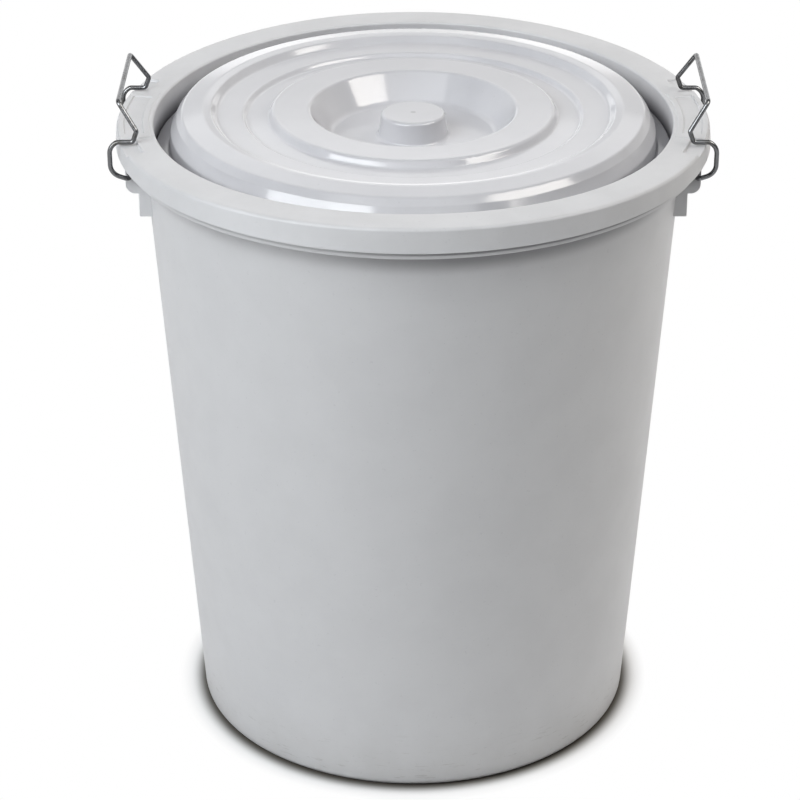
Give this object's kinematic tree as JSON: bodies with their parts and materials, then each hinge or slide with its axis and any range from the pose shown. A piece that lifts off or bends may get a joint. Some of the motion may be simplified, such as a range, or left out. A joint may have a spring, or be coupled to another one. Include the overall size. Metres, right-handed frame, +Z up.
{
  "type": "trash can",
  "caption": "Round tapering trash can with a rim collar that holds a bag, a drop-in stepped lid with a sunk knob, and hinged wire clips that clamp the collar and serve as handles.",
  "frame": {"origin": "on the floor at the centre of the base", "axes": "+Z up along the can's axis, +X towards the right clip, +Y to the back"},
  "size_m": [0.505, 0.501, 0.5848],
  "materials": {
    "can_plastic": "satin pale grey moulding",
    "rim_plastic": "satin pale grey moulding",
    "lid_plastic": "glossy pale grey moulding",
    "clip_wire": "bright drawn steel wire"
  },
  "bodies": {
    "can": {"can_body": "can_plastic", "rim_collar": "rim_plastic"},
    "lid": {"lid": "lid_plastic"},
    "left_clip": {"left_clip": "clip_wire"},
    "right_clip": {"right_clip": "clip_wire"}
  },
  "joints": [
    {"name": "lid_lift", "type": "slide", "parent": "can", "child": "lid", "axis": [0, 0, 1], "range_m": [0, 0.25]},
    {"name": "left_clip_swing", "type": "hinge", "parent": "can", "child": "left_clip", "pos_m": [-0.2355, 0, 0.517], "axis": [0, -1, 0], "range_deg": [0, 170]},
    {"name": "right_clip_swing", "type": "hinge", "parent": "can", "child": "right_clip", "pos_m": [0.2355, 0, 0.517], "axis": [0, 1, 0], "range_deg": [0, 170]}
  ]
}
